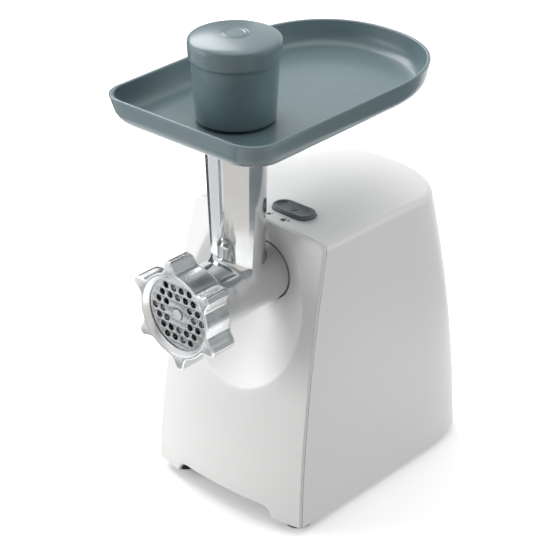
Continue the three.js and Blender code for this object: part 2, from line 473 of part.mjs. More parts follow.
// only three lugs are left of the rear flange
const lugKeep = [];
for (const deg of [90, 210, 330]) {
  const p = [[0, 0]];
  for (let i = 0; i <= 4; i++) { const a = (deg - 17 + 34 * i / 4) * d2r; p.push([34 * Math.cos(a), 34 * Math.sin(a)]); }
  lugKeep.push(slabY(p, 36, 46).translate([0, 0, AXIS_Z]));
}
const ringCut = cut(tubeY(24.3, 40, 38, 45, 0, AXIS_Z, SEG), ...lugKeep);
const hopperProfile = [[0, AXIS_Z - 4], [19.7, AXIS_Z - 4], [19.7, AXIS_Z], [20.7, 212], [24.6, 317], [24.6, 318.7], [0, 318.7]];
let head = union(cut(barrel, ringCut), latheZ(hopperProfile, 44, 0, 0));
const hopperFillet = latheZ([[0, AXIS_Z], [23.6, AXIS_Z + 15], [22, 208], [21.0, 214], [0, 214]], 24, 0, 0);
head = union(head, hopperFillet);
head = cut(head,
  rodY(BORE_R, -53, 40, 0, AXIS_Z, SEG), rodY(31.4, -70, -52.6, 0, AXIS_Z, SEG), rodY(6.8, 30, 60, 0, AXIS_Z, 24),
  latheZ([[0, AXIS_Z], [18.9, AXIS_Z + 3], [18.9, 226], [22.3, 300], [22.3, 330], [0, 330]], 24, 0, 0));
add('mincer_head', head, 'cast');

// perforated plate, keyed by a notch
const holes = [];
for (let i = -5; i <= 5; i++) for (let j = -5; j <= 5; j++) {
  const x = 8 * (i + (Math.abs(j) % 2) * 0.5), y = 8 * 0.866 * j, r = Math.hypot(x, y);
  if (r > 8.4 && r < 26.4) holes.push([x, y]);
}
const disc = slabY(circle(0, 0, PLATE_R, 40), -66.0 + 0.3, -60.6, [circle(0, 0, 4.8, 16), ...holes.map(([x, y]) => circle(x, y, 2.9, 6))]);
add('hole_plate', disc.translate([0, 0, AXIS_Z]), 'steel');

// ring nut with six gripping lugs
const nut2d = [];
const NL = 6;
for (let k = 0; k < NL; k++) {
  const c = (NUT_PHASE + 60 * k) * d2r;
  const pt = (r, o) => [r * Math.cos(c) - o * Math.sin(c), r * Math.sin(c) + o * Math.cos(c)];
  const arc = (deg) => { const a = c + deg * d2r; return [NUT_R * Math.cos(a), NUT_R * Math.sin(a)]; };
  nut2d.push(arc(-30), arc(-22), arc(-14), pt(35.6, -6.8), pt(37.4, -5.0), pt(NUT_TIP_R - 2.2, -NUT_LUG_HW), pt(NUT_TIP_R - 0.6, -NUT_LUG_HW + 1.2), pt(NUT_TIP_R, -1.6),
    pt(NUT_TIP_R, 1.6), pt(NUT_TIP_R - 0.6, NUT_LUG_HW - 1.2), pt(NUT_TIP_R - 2.2, NUT_LUG_HW), pt(37.4, 5.0), pt(35.6, 6.8), arc(14), arc(22));
}
let nut = cut(slabY(nut2d, NUT_Y0, NUT_Y1), latheY([[0, NUT_Y0 - 1], [32.7, NUT_Y0 - 1], [32.2, NUT_Y0], [29.2, -66.8], [29.2, -66.1], [33.35, -66.1], [33.35, NUT_Y1 + 1], [0, NUT_Y1 + 1]], SEG, 0, 0));
nut = cut(nut, latheY([[33.35, -47.6], [36, NUT_Y1 + 0.1], [36, NUT_Y1 + 1], [33, NUT_Y1 + 1], [33, -47.6]], SEG, 0, 0, true).intersect(tubeY(30, 34.4, -50, -40, 0, 0, SEG)));
add('ring_nut', nut.translate([0, 0, AXIS_Z]), 'cast');

// ---- tray -----------------------------------------------------------------------
function trayRing(inset, z, rc) {
  const w = TRAY_HW - inset, y0 = TRAY_Y0 + inset, y1 = TRAY_Y1 - inset, ys = 92, n = 2.25, out = [];
  for (let i = 0; i <= 4; i++) { const a = -Math.PI / 2 + Math.PI / 2 * i / 4; out.push(V3(w - rc + rc * Math.cos(a), y0 + rc + rc * Math.sin(a), z)); }
  for (let i = 0; i <= 16; i++) { const a = Math.PI * i / 16, c = Math.cos(a), s = Math.sin(a); out.push(V3(w * Math.sign(c) * Math.abs(c) ** (2 / n), ys + (y1 - ys) * Math.abs(s) ** (2 / n), z)); }
  for (let i = 0; i <= 4; i++) { const a = Math.PI + Math.PI / 2 * i / 4; out.push(V3(-w + rc + rc * Math.cos(a), y0 + rc + rc * Math.sin(a), z)); }
  return out;
}
const TZ = TRAY_FLOOR_Z;
const trayOut = toSolid(loft([trayRing(12, TZ, 24), trayRing(6.2, TZ + 2.2, 24), trayRing(1.6, TZ + 9, 22.5), trayRing(0, TRAY_Z - 1.2, 21), trayRing(0.4, TRAY_Z, 21)]));
const trayIn = toSolid(loft([trayRing(15, TZ + 3, 15), trayRing(8.6, TZ + 5.2, 16), trayRing(4.4, TZ + 12, 17), trayRing(3.0, TRAY_Z + 1, 18)]));
let tray = union(cut(trayOut, trayIn), latheZ([[19.4, 300], [21.9, 300], [21.9, TZ - 0.1], [24, TZ + 0.5], [24, TZ + 3], [21.9, TZ + 5.2], [19.4, TZ + 5.2]], 24, 0, 0, true));
tray = cut(tray, rodZ(19.4, 290, 360, 0, 0, 24));
add('tray', tray, 'grey');

// ---- pusher and its cap ------------------------------------------------------------
const PB = TZ + 5.6;
add('pusher', latheZ([[0, 212], [15, 212], [STEM_R, 215.5], [STEM_R, PB], [29.4, PB], [29.8, PB + 0.6], [32.5, 370.9], [30.2, 370.9], [27.4, PB + 3], [0, PB + 3]], 28, 0, 0), 'grey');
add('pusher_cap', latheZ([[0, 371.3], [26, 371.3], [26, 362], [28.6, 362], [29.4, 371.3], [35, 371.3], [35, 383.4], [33.6, 386.3], [26, 388.5], [0, 390.1]], 28, 0, 0), 'grey');

export default root;
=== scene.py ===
import bpy, bmesh, json, math
import numpy as np
from mathutils import Vector, Matrix


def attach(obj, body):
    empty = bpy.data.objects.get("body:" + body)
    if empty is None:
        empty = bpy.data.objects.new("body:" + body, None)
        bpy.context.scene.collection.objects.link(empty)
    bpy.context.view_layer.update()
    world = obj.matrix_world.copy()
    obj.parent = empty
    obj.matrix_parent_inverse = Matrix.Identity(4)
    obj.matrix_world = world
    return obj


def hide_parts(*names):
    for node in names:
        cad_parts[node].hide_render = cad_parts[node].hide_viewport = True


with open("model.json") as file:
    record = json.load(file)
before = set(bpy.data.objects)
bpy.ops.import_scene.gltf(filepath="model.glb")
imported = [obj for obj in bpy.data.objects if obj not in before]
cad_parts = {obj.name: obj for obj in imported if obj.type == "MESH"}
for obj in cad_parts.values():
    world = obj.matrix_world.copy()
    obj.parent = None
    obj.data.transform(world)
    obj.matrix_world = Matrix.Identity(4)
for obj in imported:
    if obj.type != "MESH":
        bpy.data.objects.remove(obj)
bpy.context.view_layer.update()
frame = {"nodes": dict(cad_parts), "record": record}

# ------------------------------------------------------------------ shared dimensions, mm, the machine's own frame
OY, OZ = -69.24, 6.5
H, BASE_HW, TOP_HW = 230.0, 77.4, 67.8
F0, F1 = -15.4, 22.6
R0, R1 = 206.0, 180.0
CROWN = 5.5
AXIS = 185.3
HOLE_R, HOLE_Y = 25.2, 30.9
DS, DSU = 1.47, 3.2
WALL = 2.6
PILL = (14.0, 48.4)
TRAY_Z, TRAY_HW, TRAY_Y0, TRAY_Y1, TRAY_F = 341.0, 79.0, -64.5, 178.0, 319.0
PLATE_R = 31.0
EDGE = 5.5                      # radius of the top's side edge
SEAM = 1.3                      # the seam runs this far behind the front edge
GAP = 0.5


def clamp(v, a, b):
    return np.minimum(b, np.maximum(a, v))


def hw(z):
    return BASE_HW - (BASE_HW - TOP_HW) * clamp(z / H, 0, 1.1) ** 1.25


def corner_y(z):
    return F0 + (F1 - F0) * clamp(z / H, 0, 1.1) ** 1.55


def bow(z):
    return 8.5 - 8.5 * clamp(z / H, 0, 1) ** 1.3


def front_y(x, z):
    k = x / hw(z)
    return corner_y(z) - bow(z) * (1 - k * k)


def rear_y(z):
    return R0 + (R1 - R0) * clamp(z / H, 0, 1.1) ** 2.5


def rear_start(z):
    return 112 + 17 * z / H


def rear_pow(z):
    return 4.6 - 2.1 * clamp(z / H, 0, 1.1)


def crown_at(y):
    return 2.4 + (CROWN - 2.4) * clamp((y - 20) / 60, 0, 1)


def top_z(x, y):
    return H + crown_at(y) * (1 - (x / TOP_HW) ** 2) - 5 * (np.maximum(0, y - 60) / 120) ** 2


# ------------------------------------------------------------------ mesh helpers
def to_m(p):
    return (p[0] / 1000, (p[1] + OY) / 1000, (p[2] + OZ) / 1000)


def new_object(name, verts, faces, merge=1e-6):
    me = bpy.data.meshes.new(name)
    me.from_pydata([to_m(v) for v in verts], [], faces)
    ob = bpy.data.objects.new(name, me)
    bpy.context.collection.objects.link(ob)
    bm = bmesh.new()
    bm.from_mesh(me)
    bmesh.ops.remove_doubles(bm, verts=bm.verts, dist=merge)
    bad = [f for f in bm.faces if f.calc_area() < 1e-14]
    if bad:
        bmesh.ops.dissolve_degenerate(bm, dist=1e-7, edges=bm.edges)
    bmesh.ops.recalc_face_normals(bm, faces=bm.faces)
    bm.to_mesh(me)
    bm.free()
    return ob


def grid(name, rows, close_u=True, close_v=False, cap0=False, cap1=False, merge=1e-6):
    """rows of equal length; u runs along a row, v from row to row"""
    n, m = len(rows[0]), len(rows)
    verts = [tuple(map(float, p)) for r in rows for p in r]
    faces = []
    for i in range(m if close_v else m - 1):
        for j in range(n if close_u else n - 1):
            a, b = i * n + j, i * n + (j + 1) % n
            c, d = ((i + 1) % m) * n + j, ((i + 1) % m) * n + (j + 1) % n
            faces.append((a, b, d, c))
    if cap0:
        faces.append(tuple(range(n)))
    if cap1:
        faces.append(tuple(range((m - 1) * n, m * n))[::-1])
    return new_object(name, verts, faces, merge)


def lathe_z(name, profile, cx, cy, seg=96, closed=False, merge=1e-6):
    rows = [[(cx + r * math.cos(a), cy + r * math.sin(a), z) for a in np.linspace(0, 2 * math.pi, seg, endpoint=False)] for r, z in profile]
    return grid(name, rows, True, closed, merge=merge)


def lathe_y(name, profile, cx, cz, seg=96, closed=False, merge=1e-6):
    rows = [[(cx + r * math.cos(a), y, cz + r * math.sin(a)) for a in np.linspace(0, 2 * math.pi, seg, endpoint=False)] for r, y in profile]
    return grid(name, rows, True, closed, merge=merge)


def arc(cx, cy, r, a0, a1, n=6):
    """points of an arc as pairs, degrees"""
    return [(cx + r * math.cos(math.radians(a)), cy + r * math.sin(math.radians(a))) for a in np.linspace(a0, a1, n)]


def smooth(ob, angle=32):
    me = ob.data
    me.polygons.foreach_set("use_smooth", [True] * len(me.polygons))
    me.set_sharp_from_angle(angle=math.radians(angle))
    me.update()


def solidify(ob, t, offset=-1.0):
    m = ob.modifiers.new("wall", "SOLIDIFY")
    m.thickness = t / 1000
    m.offset = offset
    m.use_even_offset = True
    m.use_quality_normals = True


def settle(ob):
    """applies the modifiers"""
    dg = bpy.context.evaluated_depsgraph_get()
    dg.update()
    me = bpy.data.meshes.new_from_object(ob.evaluated_get(dg))
    ob.modifiers.clear()
    old = ob.data
    ob.data = me
    bpy.data.meshes.remove(old)


def cut_with(ob, cutters):
    for c in cutters:
        m = ob.modifiers.new("cut", "BOOLEAN")
        m.operation = "DIFFERENCE"
        m.solver = "EXACT"
        m.object = c
    settle(ob)
    for c in cutters:
        me = c.data
        bpy.data.objects.remove(c)
        bpy.data.meshes.remove(me)


def prism_z(name, outline, z0, z1):
    return grid(name, [[(x, y, z0) for x, y in outline], [(x, y, z1) for x, y in outline]], True, False, True, True)


def prism_x(name, outline, x0, x1):
    return grid(name, [[(x0, y, z) for y, z in outline], [(x1, y, z) for y, z in outline]], True, False, True, True)


def prism_y(name, outline, y0, y1):
    return grid(name, [[(x, y0, z) for x, z in outline], [(x, y1, z) for x, z in outline]], True, False, True, True)


def join(name, *obs):
    bm = bmesh.new()
    for o in obs:
        bm.from_mesh(o.data)
    me = bpy.data.meshes.new(name)
    bm.to_mesh(me)
    bm.free()
    for o in obs:
        d = o.data
        bpy.data.objects.remove(o)
        bpy.data.meshes.remove(d)
    ob = bpy.data.objects.new(name, me)
    bpy.context.collection.objects.link(ob)
    return ob


def stadium(cx, cy, lx, ly, n=24):
    r, h = ly / 2, lx / 2 - ly / 2
    o = []
    for i in range(n + 1):
        a = -math.pi / 2 + math.pi * i / n
        o.append((cx + h + r * math.cos(a), cy + r * math.sin(a)))
    for i in range(n + 1):
        a = math.pi / 2 + math.pi * i / n
        o.append((cx - h + r * math.cos(a), cy + r * math.sin(a)))
    return o


def rrect(cx, cy, lx, ly, r, n=6):
    o = []
    for sx, sy, a0 in ((1, -1, -90), (1, 1, 0), (-1, 1, 90), (-1, -1, 180)):
        o += arc(cx + sx * (lx / 2 - r), cy + sy * (ly / 2 - r), r, a0, a0 + 90, n)
    return o


# ------------------------------------------------------------------ materials
def material(name, color, rough, metal=0.0, var=0.02, var_scale=18.0, rough_var=0.05, rough_scale=60.0,
             bump=0.04, bump_scale=900.0, bump_dist=0.0002, wave=0.0, wave_scale=40.0, coat=0.0, coat_rough=0.2,
             streak=None, spec=0.5, pointiness_tone=0.0):
    m = bpy.data.materials.new(name)
    m.use_nodes = True
    nt = m.node_tree
    nt.nodes.clear()
    N, L = nt.nodes.new, nt.links.new
    out = N("ShaderNodeOutputMaterial")
    p = N("ShaderNodeBsdfPrincipled")
    L(p.outputs[0], out.inputs[0])
    p.inputs["Metallic"].default_value = metal
    p.inputs["Specular IOR Level"].default_value = spec
    p.inputs["Coat Weight"].default_value = coat
    p.inputs["Coat Roughness"].default_value = coat_rough
    tc = N("ShaderNodeTexCoord")
    mp = N("ShaderNodeMapping")
    L(tc.outputs["Object"], mp.inputs["Vector"])
    if streak:
        mp.inputs["Scale"].default_value = streak
    # colour: two scales of noise round the base colour
    n1 = N("ShaderNodeTexNoise"); n1.inputs["Scale"].default_value = var_scale; n1.inputs["Detail"].default_value = 4
    L(tc.outputs["Object"], n1.inputs["Vector"])
    ramp = N("ShaderNodeValToRGB")
    ramp.color_ramp.elements[0].position, ramp.color_ramp.elements[1].position = 0.3, 0.7
    ramp.color_ramp.elements[0].color = (*[max(0, c * (1 - var)) for c in color], 1)
    ramp.color_ramp.elements[1].color = (*[min(1, c * (1 + var)) for c in color], 1)
    L(n1.outputs["Fac"], ramp.inputs["Fac"])
    colour = ramp.outputs["Color"]
    # tone from Pointiness: the base colour darker in hollows and lighter on ridges
    if pointiness_tone:
        g = N("ShaderNodeNewGeometry")
        r2 = N("ShaderNodeValToRGB")
        r2.color_ramp.elements[0].position, r2.color_ramp.elements[1].position = 0.47, 0.56
        r2.color_ramp.elements[0].color = (*[c * (1 - pointiness_tone) for c in color], 1)
        r2.color_ramp.elements[1].color = (*[min(1, c * (1 + pointiness_tone)) for c in color], 1)
        L(g.outputs["Pointiness"], r2.inputs["Fac"])
        mx = N("ShaderNodeMix"); mx.data_type = "RGBA"; mx.inputs["Factor"].default_value = 0.4
        L(colour, mx.inputs[6]); L(r2.outputs["Color"], mx.inputs[7])
        colour = mx.outputs[2]
    L(colour, p.inputs["Base Color"])
    # roughness
    n2 = N("ShaderNodeTexNoise"); n2.inputs["Scale"].default_value = rough_scale; n2.inputs["Detail"].default_value = 5
    L(mp.outputs["Vector"], n2.inputs["Vector"])
    mr = N("ShaderNodeMapRange")
    mr.inputs["From Min"].default_value, mr.inputs["From Max"].default_value = 0.3, 0.7
    mr.inputs["To Min"].default_value, mr.inputs["To Max"].default_value = max(0.02, rough - rough_var), rough + rough_var
    L(n2.outputs["Fac"], mr.inputs["Value"])
    L(mr.outputs["Result"], p.inputs["Roughness"])
    # fine texture and a longer waviness
    n3 = N("ShaderNodeTexNoise"); n3.inputs["Scale"].default_value = bump_scale; n3.inputs["Detail"].default_value = 3
    L(mp.outputs["Vector"], n3.inputs["Vector"])
    b = N("ShaderNodeBump"); b.inputs["Strength"].default_value = bump; b.inputs["Distance"].default_value = bump_dist
    L(n3.outputs["Fac"], b.inputs["Height"])
    last = b
    if wave:
        n4 = N("ShaderNodeTexNoise"); n4.inputs["Scale"].default_value = wave_scale; n4.inputs["Detail"].default_value = 1.5
        L(tc.outputs["Object"], n4.inputs["Vector"])
        b2 = N("ShaderNodeBump"); b2.inputs["Strength"].default_value = wave; b2.inputs["Distance"].default_value = 0.002
        L(n4.outputs["Fac"], b2.inputs["Height"])
        L(b.outputs["Normal"], b2.inputs["Normal"])
        last = b2
    L(last.outputs["Normal"], p.inputs["Normal"])
    return m


MATS = {
    "white_plastic": material("white_plastic", (0.74, 0.74, 0.732), 0.38, var=0.012, var_scale=9, rough_var=0.03, rough_scale=16, bump=0.03, bump_scale=3000, bump_dist=0.00006, coat=0.10, coat_rough=0.35),
    "grey_plastic": material("grey_plastic", (0.122, 0.178, 0.197), 0.29, var=0.02, var_scale=9, rough_var=0.02, rough_scale=14, bump=0.03, bump_scale=420, bump_dist=0.00002, coat=0.22, coat_rough=0.16),
    "control_grey": material("control_grey", (0.092, 0.115, 0.12), 0.34, var=0.06, var_scale=40, rough_var=0.05, bump=0.10, bump_scale=3000, bump_dist=0.0001),
    "polished_aluminium": material("polished_aluminium", (0.76, 0.77, 0.775), 0.14, 1.0, var=0.02, var_scale=30, rough_var=0.05, rough_scale=70, bump=0.03, bump_scale=1400, bump_dist=0.0002, wave=0.10, wave_scale=26),
    "ring_casting": material("ring_casting", (0.80, 0.81, 0.815), 0.25, 1.0, var=0.02, var_scale=30, rough_var=0.06, rough_scale=60, bump=0.05, bump_scale=1300, bump_dist=0.0002, wave=0.08, wave_scale=30),
    "screw_casting": material("screw_casting", (0.70, 0.71, 0.72), 0.34, 1.0, var=0.05, rough_var=0.08, bump=0.15, bump_scale=900),
    "blade_steel": material("blade_steel", (0.62, 0.63, 0.64), 0.24, 1.0, var=0.04, rough_var=0.08, rough_scale=200, streak=(1, 1, 14), bump=0.06, bump_scale=700),
    "gearbox_casting": material("gearbox_casting", (0.52, 0.53, 0.54), 0.5, 1.0, var=0.06, bump=0.3, bump_scale=700),
    "plain_steel": material("plain_steel", (0.58, 0.58, 0.59), 0.28, 1.0, var=0.04, streak=(1, 12, 1), rough_var=0.07, rough_scale=160, bump=0.05),
    "lamination": material("lamination", (0.20, 0.21, 0.23), 0.5, 0.8, var=0.08, bump=0.12, streak=(1, 30, 1)),
    "winding": material("winding", (0.50, 0.20, 0.08), 0.35, 1.0, var=0.12, var_scale=120, bump=0.4, bump_scale=600, streak=(1, 8, 8)),
    "bearing_bronze": material("bearing_bronze", (0.55, 0.38, 0.17), 0.42, 1.0, var=0.08, bump=0.15),
    "nylon": material("nylon", (0.72, 0.69, 0.60), 0.45, var=0.03, bump=0.06),
    "black_plastic": material("black_plastic", (0.022, 0.022, 0.024), 0.5, var=0.12, bump=0.18, bump_scale=1800),
    "carbon": material("carbon", (0.03, 0.03, 0.03), 0.7, var=0.2, bump=0.3),
    "board": material("board", (0.03, 0.16, 0.08), 0.5, var=0.1, var_scale=90, bump=0.1),
    "foot_rubber": material("foot_rubber", (0.014, 0.014, 0.015), 0.78, var=0.2, var_scale=120, bump=0.35, bump_scale=1500),
    "print_ink": material("print_ink", (0.05, 0.055, 0.06), 0.5, var=0.1, bump=0.05),
}
slot_of = {s["node"]: s["material_slot"] for s in frame["record"]["subparts"]}
for n, ob in frame["nodes"].items():
    m = MATS[slot_of[n]]
    if not ob.material_slots:
        ob.data.materials.append(m)
    for s in ob.material_slots:
        s.material = m


def piece(ob, body, slot, nodes=(), angle=32, mat=None):
    smooth(ob, angle)
    ob.data.materials.clear()
    ob.data.materials.append(MATS[mat or slot])
    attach(ob, body)
    if nodes:
        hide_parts(*nodes)
    return ob


# ------------------------------------------------------------------ front cover
def front_edge():
    """outline of the front face, (x, z), clockwise from the middle of the top, with outward directions"""
    pts = []
    zt = lambda x: float(top_z(x, F1))
    wt = float(hw(H))
    for x in np.linspace(0, wt - EDGE, 34):
        pts.append((x, zt(x)))
    cz = zt(wt - EDGE) - EDGE
    for a in np.linspace(90, 0, 8)[1:]:
        pts.append((wt - EDGE + EDGE * math.cos(math.radians(a)), cz + EDGE * math.sin(math.radians(a))))
    for z in np.linspace(cz, 2.2, 60)[1:]:
        pts.append((float(hw(z)), z))
    w0 = float(hw(0))
    for a in (-20, -45, -70, -90):
        pts.append((w0 - 2.2 + 2.2 * math.cos(math.radians(a)), 2.2 + 2.2 * math.sin(math.radians(a))))
    for x in np.linspace(w0 - 2.2, 52.5, 9)[1:]:
        pts.append((x, 0.0))
    pts += [(51.2, 0.25), (50.5, 1.0), (50.1, 2.0), (49.5, 3.6), (48.7, 5.2), (47.4, 6.9), (45.6, 8.2), (43.2, 9.0), (40.5, 9.3)]
    for x in np.linspace(40.5, 0, 14)[1:]:
        pts.append((x, 9.3))
    pts += [(-x, z) for x, z in pts[::-1][1:-1]]
    P = np.array(pts)
    T = np.roll(P, -1, 0) - np.roll(P, 1, 0)
    T /= np.linalg.norm(T, axis=1)[:, None]
    return P, np.stack([-T[:, 1], T[:, 0]], 1)           # clockwise walk: outward is to the left


def dish_y(x, z):
    dx, dz = x, z - AXIS
    r = np.hypot(dx, dz)
    up = np.maximum(0, dz / np.maximum(r, 1e-6))
    s = DS - (DS - DSU) * up * up
    return HOLE_Y - (r - HOLE_R) / s


def smax(a, b, k):
    return (a + b + np.sqrt((a - b) ** 2 + k * k)) / 2


def face_y(x, z):
    return smax(front_y(x, z), dish_y(x, z), 0.9)


RHO = 1.6
P, NRM = front_edge()
cols = []
for (bx, bz), (nx, nz) in zip(P, NRM):
    rho = 1.5 + 0.7 * float(clamp((bz - 150) / 60, 0, 1))
    ix, iz = bx - rho * nx, bz - rho * nz
    R = math.hypot(ix, iz - AXIS)
    ux, uz = ix / R, (iz - AXIS) / R
    lo, hi = HOLE_R, R
    for _ in range(40):
        r = (lo + hi) / 2
        if dish_y(ux * r, AXIS + uz * r) > front_y(ux * r, AXIS + uz * r):
            lo = r
        else:
            hi = r
    fd = min(0.97, (lo - HOLE_R) / (R - HOLE_R))
    fs = [fd * (1 - (1 - u) ** 2.2) for u in np.linspace(0, 1, 22)] + [fd + (1 - fd) * u ** 2.2 for u in np.linspace(0, 1, 24)[1:]]
    col = []
    y0 = float(dish_y(ux * HOLE_R, AXIS + uz * HOLE_R))
    for dr, dy in ((0.1, 3.4), (0.02, 0.9), (0.0, 0.35)):
        col.append((ux * (HOLE_R + dr), y0 + dy, AXIS + uz * (HOLE_R + dr)))
    for f in fs:
        r = HOLE_R + (R - HOLE_R) * f
        x, z = ux * r, AXIS + uz * r
        y = float(dish_y(x, z)) if f == 0 else float(face_y(x, z))
        col.append((x, y, z))
    ye = col[-1][1]
    for a in (15, 30, 45, 60, 75, 90):
        t = math.radians(a)
        col.append((ix + rho * math.sin(t) * nx, ye + rho * (1 - math.cos(t)), iz + rho * math.sin(t) * nz))
    col.append((bx, ye + max(rho, 1.6) + 0.4, bz))
    col.append((bx, ye + max(rho, 1.6) + 0.5, bz))
    cols.append(col)
rows = [[c[i] for c in cols] for i in range(len(cols[0]))]
cover = grid("front_cover_shell", rows, True, False)
# face the surface outwards (towards -Y) before it is thickened
me = cover.data
if sum(p.normal.y * p.area for p in me.polygons) > 0:
    me.flip_normals()
solidify(cover, WALL)
settle(cover)
piece(cover, "base", "white_plastic", ["front_cover"], 28)

# ------------------------------------------------------------------ main housing: sides, rear and top in one shell
NS, NR = 34, 90


def rim_outline(z, inset=0.0, zt=None):
    """open outline from the right front edge round the rear to the left front edge"""
    w, ys, ye, n = float(hw(z)) - inset, float(rear_start(z)), float(rear_y(z)) - inset, float(rear_pow(z))
    yf = float(corner_y(z)) + RHO + 0.6 * float(clamp((z - 150) / 60, 0, 1)) + 0.5 + GAP
    o = [(w, yf + (ys - yf) * i / NS) for i in range(NS)]
    for i in range(NR + 1):
        a = math.pi * i / NR
        c, s = math.cos(a), math.sin(a)
        # even spacing round tight corners
        o.append((w * math.copysign(abs(c) ** (2 / n), c), ys + (ye - ys) * abs(s) ** (2 / n)))
    o += [(-w, yf + (ys - yf) * i / NS) for i in range(NS - 1, -1, -1)]
    return o


def z_edge(x, y):
    return float(top_z(x, y))


top_ring = rim_outline(H)
ze = [z_edge(x, y) for x, y in top_ring]
rows = [[v * (q - EDGE) for q in ze] for v in np.linspace(0, 1, 44)]
# evaluate each outline point at its own height
def point_at(j, z, inset=0.0):
    w, ys, ye, n = float(hw(z)) - inset, float(rear_start(z)), float(rear_y(z)) - inset, float(rear_pow(z))
    yf = float(corner_y(z)) + RHO + 0.6 * float(clamp((z - 150) / 60, 0, 1)) + 0.5 + GAP
    if j < NS:
        return (w, yf + (ys - yf) * j / NS)
    if j <= NS + NR:
        a = math.pi * (j - NS) / NR
        c, s = math.cos(a), math.sin(a)
        return (w * math.copysign(abs(c) ** (2 / n), c), ys + (ye - ys) * abs(s) ** (2 / n))
    k = 2 * NS + NR - j
    return (-w, yf + (ys - yf) * k / NS)


rows = [[(*point_at(j, z), z) for j, z in enumerate(r)] for r in rows]
for a in np.linspace(0, 90, 8)[1:]:
    t = math.radians(a)
    row = []
    for j in range(len(top_ring)):
        x, y = point_at(j, ze[j] - EDGE + EDGE * math.sin(t), EDGE * (1 - math.cos(t)))
        row.append((x, y, ze[j] - EDGE + EDGE * math.sin(t)))
    rows.append(row)
last = rows[-1]
ysr = float(rear_start(H))
for t in list(np.linspace(1, 0, 30))[1:]:
    row = []
    for j, (x, y, z) in enumerate(last):
        if NS <= j <= NS + NR:
            q = (x * t, ysr + (y - ysr) * t)
        else:
            q = (x * t, y)
        b = 1 - min(1, (1 - t) * 6)
        row.append((q[0], q[1], float(top_z(*q)) * (1 - b) + b * (z - float(top_z(x, y)) + float(top_z(*q)))))
    rows.append(row)
house = grid("main_housing_shell", rows, False, False, merge=2e-5)
me = house.data
cx = Vector((0, 0.02, 0.12))
if sum((p.center - cx).dot(p.normal) * p.area for p in me.polygons) < 0:
    me.flip_normals()
solidify(house, WALL)
settle(house)
W150 = float(hw(150))
cutters = [prism_z("c1", stadium(PILL[0], PILL[1], 39.6, 19.6), 214, 250),
           prism_x("c2", rrect(92, 150, 14, 22, 1.2), -90, -60),
           prism_x("c3", [(122 + 7.2 * math.cos(a), 150 + 7.2 * math.sin(a)) for a in np.linspace(0, 2 * math.pi, 40, endpoint=False)], -90, -60),
           prism_y("c4", [(-34 + 8.3 * math.cos(a), 26 + 8.3 * math.sin(a)) for a in np.linspace(0, 2 * math.pi, 40, endpoint=False)], 176, 230)]
for i in range(6):
    cutters.append(prism_y("v%d" % i, rrect(-30 + 12 * i, 138, 6, 36, 2.9, 8), 170, 230))
cut_with(house, cutters)
piece(house, "base", "white_plastic", ["main_housing"], 28)

# ------------------------------------------------------------------ mincing head: barrel, bell and hopper tube
prof = [(31.3, -52.8), (31.3, -61.9), (31.6, -62.5), (32.6, -62.5)]
prof += [(33.0, -62.1), (33.0, -48.6)]
prof += arc(30.6, -46.6 + 0.2, 2.4, 0, 70, 5)[1:]
prof += [(30.2, -43.9), (28.9, -42.6), (27.8, -40.6), (27.0, -38.0), (26.5, -34), (26.2, -28), (25.9, -18), (25.5, -4), (25.1, 10), (24.7, 22), (24.4, 31), (24.3, 42.9), (23.6, 43.6)]
prof += [(6.9, 43.6), (6.9, 39.9), (21.7, 39.9), (21.7, -52.8)]
barrel = lathe_y("barrel", prof, 0, AXIS, 160, True)
cut_with(barrel, [lathe_z("hopper_bore", [(0.02, AXIS), (18.95, AXIS), (18.95, 230), (0.02, 230)], 0, 0, 96, True, merge=3e-5)])


def barrel_r(y):
    ys_ = [p[1] for p in prof[10:-4]]
    rs_ = [p[0] for p in prof[10:-4]]
    return float(np.interp(y, ys_, rs_))


def tube_r(z):
    return 20.7 + 3.9 * (z - 212) / 105 - 0.35 * max(0.0, 1 - abs(z - 300) / 60)


FIL = 5.0
NT = 160
rows = []
for a in np.linspace(90, 0, 12):                       # fillet from the barrel up to the tube
    t = math.radians(a)
    row = []
    for phi in np.linspace(0, 2 * math.pi, NT, endpoint=False):
        z = 208.0
        for _ in range(6):
            rt = tube_r(z)
            q = rt + FIL * (1 - math.cos(t))
            x, y = q * math.cos(phi), q * math.sin(phi)
            rb = barrel_r(y)
            zb = AXIS + math.sqrt(max(0.0, rb * rb - min(x * x, rb * rb)))
            z = zb + FIL * (1 - math.sin(t)) - (0.25 if a == 90 else 0)
        row.append((x, y, z))
    rows.append(row)
base_row = rows[-1]
for f in np.linspace(0, 1, 40)[1:]:
    row = []
    for (x, y, z), phi in zip(base_row, np.linspace(0, 2 * math.pi, NT, endpoint=False)):
        zz = z + (316.9 - z) * f
        r = tube_r(zz)
        row.append((r * math.cos(phi), r * math.sin(phi), zz))
    rows.append(row)
rt = tube_r(316.9)
rim = arc(rt - 1.2, 317.4, 1.2, 0, 90, 5) + [(22.6, 318.6), (22.3, 318.2), (22.3, 300), (18.95, 226), (18.95, 212)]
for r, z in rim:
    rows.append([(r * math.cos(p), r * math.sin(p), z) for p in np.linspace(0, 2 * math.pi, NT, endpoint=False)])
rows.append([(18.95 * math.cos(p), 18.95 * math.sin(p), AXIS + math.sqrt(22.4 ** 2 - (18.95 * math.cos(p)) ** 2)) for p in np.linspace(0, 2 * math.pi, NT, endpoint=False)])
tube = grid("tube", rows, True, True)
lugs = []
for deg in (90, 210, 330):
    o = [(24.0 * math.cos(math.radians(a)), AXIS + 24.0 * math.sin(math.radians(a))) for a in np.linspace(deg - 17, deg + 17, 10)]
    o += [(27.9 * math.cos(math.radians(a)), AXIS + 27.9 * math.sin(math.radians(a))) for a in np.linspace(deg + 17, deg - 17, 10)]
    lugs.append(prism_y("lug", o, 38.2, 43.4))
head = join("mincing_head_casting", barrel, tube, *lugs)
piece(head, "head", "polished_aluminium", ["mincer_head"], 34)

